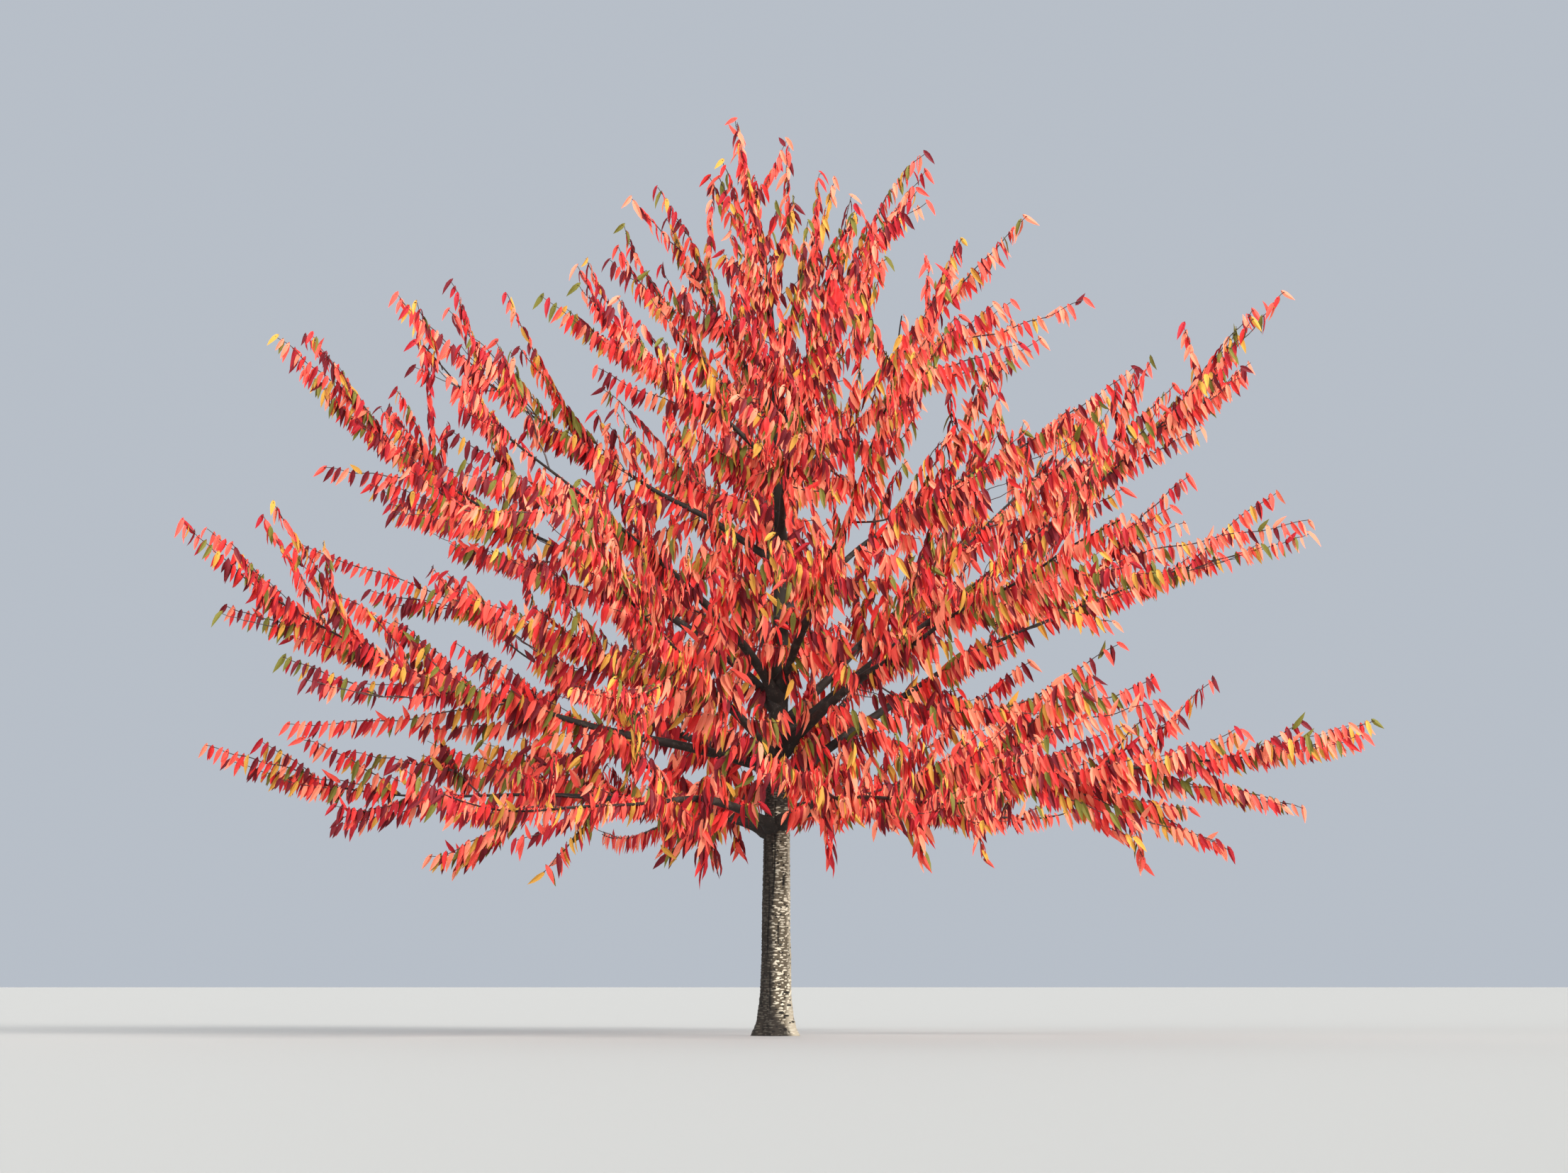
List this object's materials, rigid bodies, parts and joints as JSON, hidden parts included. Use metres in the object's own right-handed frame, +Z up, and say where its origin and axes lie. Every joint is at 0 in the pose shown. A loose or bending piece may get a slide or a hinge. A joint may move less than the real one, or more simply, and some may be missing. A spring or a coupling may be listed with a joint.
{
  "type": "cherry tree",
  "caption": "Young broadleaf tree in autumn leaf: tapering trunk with root flare and leader, tiers of spreading boughs, each ending in a mass of twigs and hanging leaves.",
  "frame": {"origin": "centre of the flat cut under the trunk, at ground level", "axes": "+Z up the trunk, +X to the right and +Y away as the tree is pictured"},
  "size_m": [7.1673, 6.5685, 5.6001],
  "materials": {
    "trunk_bark": "rough bark",
    "bough_bark": "smooth dark bark",
    "twig_bark": "smooth dark bark",
    "leaf_coral": "satin leaf",
    "leaf_red": "satin leaf",
    "leaf_salmon": "satin leaf",
    "leaf_crimson": "satin leaf",
    "leaf_scarlet": "satin leaf",
    "leaf_gold": "satin leaf",
    "leaf_olive": "satin leaf"
  },
  "bodies": {
    "root": {"bough_crest_1": "bough_bark", "bough_crest_2": "bough_bark", "bough_crest_3": "bough_bark", "bough_high_1": "bough_bark", "bough_high_2": "bough_bark", "bough_high_3": "bough_bark", "bough_lower_1": "bough_bark", "bough_lower_2": "bough_bark", "bough_lower_3": "bough_bark", "bough_lower_4": "bough_bark", "bough_lower_5": "bough_bark", "bough_lower_6": "bough_bark", "bough_middle_1": "bough_bark", "bough_middle_2": "bough_bark", "bough_middle_3": "bough_bark", "bough_middle_4": "bough_bark", "bough_middle_5": "bough_bark", "bough_middle_6": "bough_bark", "bough_skirt_1": "bough_bark", "bough_skirt_2": "bough_bark", "bough_skirt_3": "bough_bark", "bough_skirt_4": "bough_bark", "bough_skirt_5": "bough_bark", "bough_skirt_6": "bough_bark", "bough_upper_1": "bough_bark", "bough_upper_2": "bough_bark", "bough_upper_3": "bough_bark", "bough_upper_4": "bough_bark", "foliage_crest_1": "leaf_red", "foliage_crest_2": "leaf_salmon", "foliage_crest_3": "leaf_crimson", "foliage_high_1": "leaf_scarlet", "foliage_high_2": "leaf_gold", "foliage_high_3": "leaf_coral", "foliage_lower_1": "leaf_coral", "foliage_lower_2": "leaf_red", "foliage_lower_3": "leaf_salmon", "foliage_lower_4": "leaf_crimson", "foliage_lower_5": "leaf_scarlet", "foliage_lower_6": "leaf_gold", "foliage_middle_1": "leaf_coral", "foliage_middle_2": "leaf_red", "foliage_middle_3": "leaf_salmon", "foliage_middle_4": "leaf_crimson", "foliage_middle_5": "leaf_scarlet", "foliage_middle_6": "leaf_gold", "foliage_skirt_1": "leaf_coral", "foliage_skirt_2": "leaf_red", "foliage_skirt_3": "leaf_salmon", "foliage_skirt_4": "leaf_crimson", "foliage_skirt_5": "leaf_scarlet", "foliage_skirt_6": "leaf_gold", "foliage_top": "leaf_scarlet", "foliage_upper_1": "leaf_coral", "foliage_upper_2": "leaf_red", "foliage_upper_3": "leaf_salmon", "foliage_upper_4": "leaf_crimson", "trunk": "trunk_bark"}
  },
  "joints": []
}
